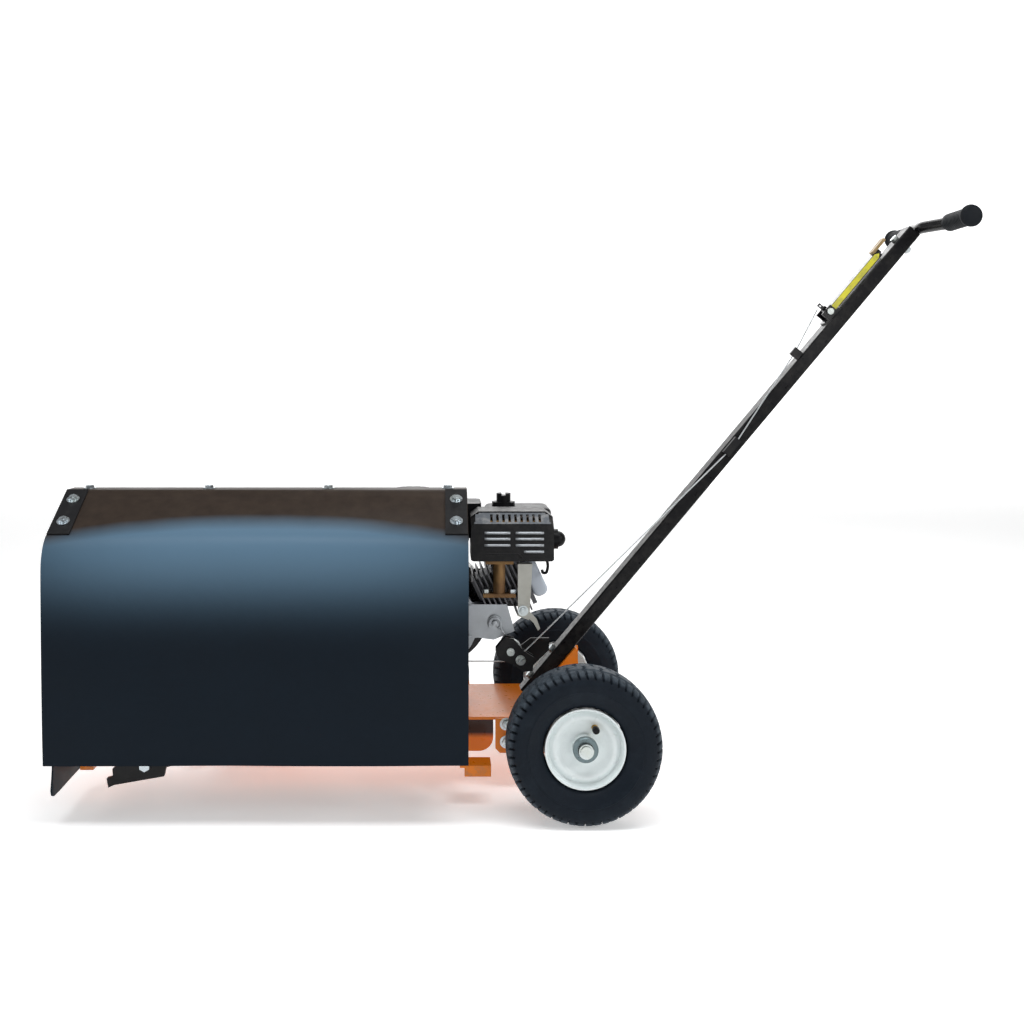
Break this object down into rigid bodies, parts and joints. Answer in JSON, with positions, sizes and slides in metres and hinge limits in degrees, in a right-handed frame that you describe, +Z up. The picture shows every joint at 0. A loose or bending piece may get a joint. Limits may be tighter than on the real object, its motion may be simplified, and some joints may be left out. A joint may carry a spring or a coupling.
{
  "type": "walk-behind lawn sweeper",
  "caption": "Walk-behind engine-driven lawn machine: side rotor under a hanging black shield, orange deck, small engine, rear pneumatic wheels and a slanted T-handle with clutch lever.",
  "frame": {"origin": "middle of the machine's bounding box on the ground", "axes": "+X to the rear (operator), +Z up, -Y toward the shield side"},
  "size_m": [1.5822, 0.576, 1.037],
  "materials": {
    "orange_paint": "gloss powder coat, chipped at the edges",
    "black_paint": "satin black powder coat",
    "black_sheet": "flexible blue-black conveyor sheet, satin",
    "zinc": "zinc plated",
    "steel": "bright ground steel",
    "belt_rubber": "ribbed rubber belt",
    "cast_alu": "die cast, matt",
    "iron": "dark cast",
    "white_alu": "silver-white painted cover",
    "hot_steel": "heat stained steel",
    "black_plastic": "moulded black plastic",
    "tyre": "turf tread rubber",
    "rim_white": "gloss white rim",
    "brass": "brass valve",
    "grip_rubber": "soft black grip",
    "tan": "tan dipped plastic"
  },
  "bodies": {
    "frame": {"deck_frame": "orange_paint", "front_subframe": "orange_paint", "axle": "steel", "handle_post": "black_paint", "handle_mast": "orange_paint", "frame_bolts": "zinc", "handlebar": "black_paint", "grips": "grip_rubber", "lever_bracket": "black_paint", "pivot_pins": "zinc", "sheave_bracket": "black_paint", "clutch_wire": "zinc", "wire_guides": "black_paint", "rotor_bearings": "iron", "drive_belt": "belt_rubber", "belt_guard": "black_paint", "crankcase": "cast_alu", "cylinder": "iron", "valve_cover": "white_alu", "muffler": "hot_steel", "muffler_guard": "black_paint", "muffler_bracket": "zinc", "air_cleaner": "black_plastic", "carburettor": "cast_alu", "fuel_tank": "black_plastic", "fan_shroud": "black_paint", "engine_fasteners": "zinc", "shield_frame": "black_paint", "debris_shield": "black_sheet", "clamp_strips": "black_paint", "end_plates": "black_paint", "shield_bolts": "zinc", "front_flap": "black_sheet"},
    "left_wheel": {"left_tyre": "tyre", "left_rim": "rim_white", "left_valve": "brass"},
    "right_wheel": {"right_tyre": "tyre", "right_rim": "rim_white", "right_valve": "brass"},
    "rotor": {"rotor_shaft": "steel", "rotor_pulley": "steel", "rotor_disc": "black_paint", "rotor_blades": "black_paint", "rotor_fasteners": "zinc"},
    "crank": {"crankshaft": "steel", "engine_pulley": "steel", "flywheel": "iron"},
    "idler_arm": {"idler_arm": "black_paint"},
    "idler_pulley": {"idler_pulley": "steel"},
    "clutch_lever": {"clutch_lever": "black_paint", "lever_tip": "tan"},
    "cable_sheave": {"cable_sheave": "zinc"},
    "gauge_skid": {"gauge_skid": "orange_paint"},
    "air_cleaner_knob": {"air_cleaner_knob": "black_plastic"},
    "choke_lever": {"choke_lever": "black_plastic"},
    "throttle_lever": {"throttle_lever": "black_plastic"},
    "fuel_valve_lever": {"fuel_valve_lever": "black_plastic"},
    "fuel_cap": {"fuel_cap": "black_plastic"},
    "starter_handle": {"starter_handle": "black_plastic"},
    "engine_switch": {"engine_switch": "black_plastic"}
  },
  "joints": [
    {"name": "left_wheel_spin", "type": "hinge", "parent": "frame", "child": "left_wheel", "pos_m": [0.095, -0.24, 0.13], "axis": [0, 1, 0], "continuous": true},
    {"name": "right_wheel_spin", "type": "hinge", "parent": "frame", "child": "right_wheel", "pos_m": [0.095, 0.24, 0.13], "axis": [0, 1, 0], "continuous": true},
    {"name": "rotor_spin", "type": "hinge", "parent": "frame", "child": "rotor", "pos_m": [-0.63, -0.165, 0.142], "axis": [0, 1, 0], "continuous": true},
    {"name": "crank_spin", "type": "hinge", "parent": "frame", "child": "crank", "pos_m": [-0.154, -0.124, 0.293], "axis": [0, 1, 0], "continuous": true},
    {"name": "clutch_lever_lift", "type": "hinge", "parent": "frame", "child": "clutch_lever", "pos_m": [0.57941, 0, 0.86187], "axis": [0, -1, 0], "range_deg": [0, 48], "deforming": ["clutch_wire"]},
    {"name": "idler_arm_swing", "type": "hinge", "parent": "frame", "child": "idler_arm", "pos_m": [-0.395, -0.101, 0.172], "axis": [0, -1, 0], "range_deg": [0, 14]},
    {"name": "idler_pulley_spin", "type": "hinge", "parent": "idler_arm", "child": "idler_pulley", "pos_m": [-0.46358, -0.124, 0.11068], "axis": [0, 1, 0], "continuous": true},
    {"name": "sheave_turn", "type": "hinge", "parent": "frame", "child": "cable_sheave", "pos_m": [-0.017, -0.079, 0.248], "axis": [0, 1, 0], "range_deg": [0, 41]},
    {"name": "skid_height", "type": "slide", "parent": "frame", "child": "gauge_skid", "axis": [0, 0, -1], "range_m": [0, 0.06]},
    {"name": "air_cleaner_knob_turn", "type": "hinge", "parent": "frame", "child": "air_cleaner_knob", "pos_m": [-0.022, 0.058, 0.51], "axis": [0, 0, 1], "continuous": true},
    {"name": "choke_lever_swing", "type": "hinge", "parent": "frame", "child": "choke_lever", "pos_m": [-0.016, 0.119, 0.402], "axis": [0, -1, 0], "range_deg": [0, 35]},
    {"name": "throttle_lever_swing", "type": "hinge", "parent": "frame", "child": "throttle_lever", "pos_m": [-0.016, 0.119, 0.382], "axis": [0, 1, 0], "range_deg": [0, 35]},
    {"name": "fuel_valve_swing", "type": "hinge", "parent": "frame", "child": "fuel_valve_lever", "pos_m": [-0.03, 0.105, 0.36], "axis": [0, 1, 0], "range_deg": [0, 90]},
    {"name": "fuel_cap_turn", "type": "hinge", "parent": "frame", "child": "fuel_cap", "pos_m": [-0.195, 0.03, 0.52], "axis": [0, 0, 1], "range_deg": [0, 90]},
    {"name": "starter_pull", "type": "slide", "parent": "frame", "child": "starter_handle", "axis": [0, 0, 1], "range_m": [0, 0.4]},
    {"name": "engine_switch_turn", "type": "hinge", "parent": "frame", "child": "engine_switch", "pos_m": [-0.112, 0.135, 0.315], "axis": [0, 1, 0], "range_deg": [0, 45]}
  ],
  "couplings": [
    {"joint": "crank_spin", "follows": "rotor_spin", "ratio": 1.579},
    {"joint": "idler_pulley_spin", "follows": "rotor_spin", "ratio": -2.9091},
    {"joint": "idler_arm_swing", "follows": "clutch_lever_lift", "ratio": 0.29166},
    {"joint": "sheave_turn", "follows": "clutch_lever_lift", "ratio": 0.85416}
  ]
}
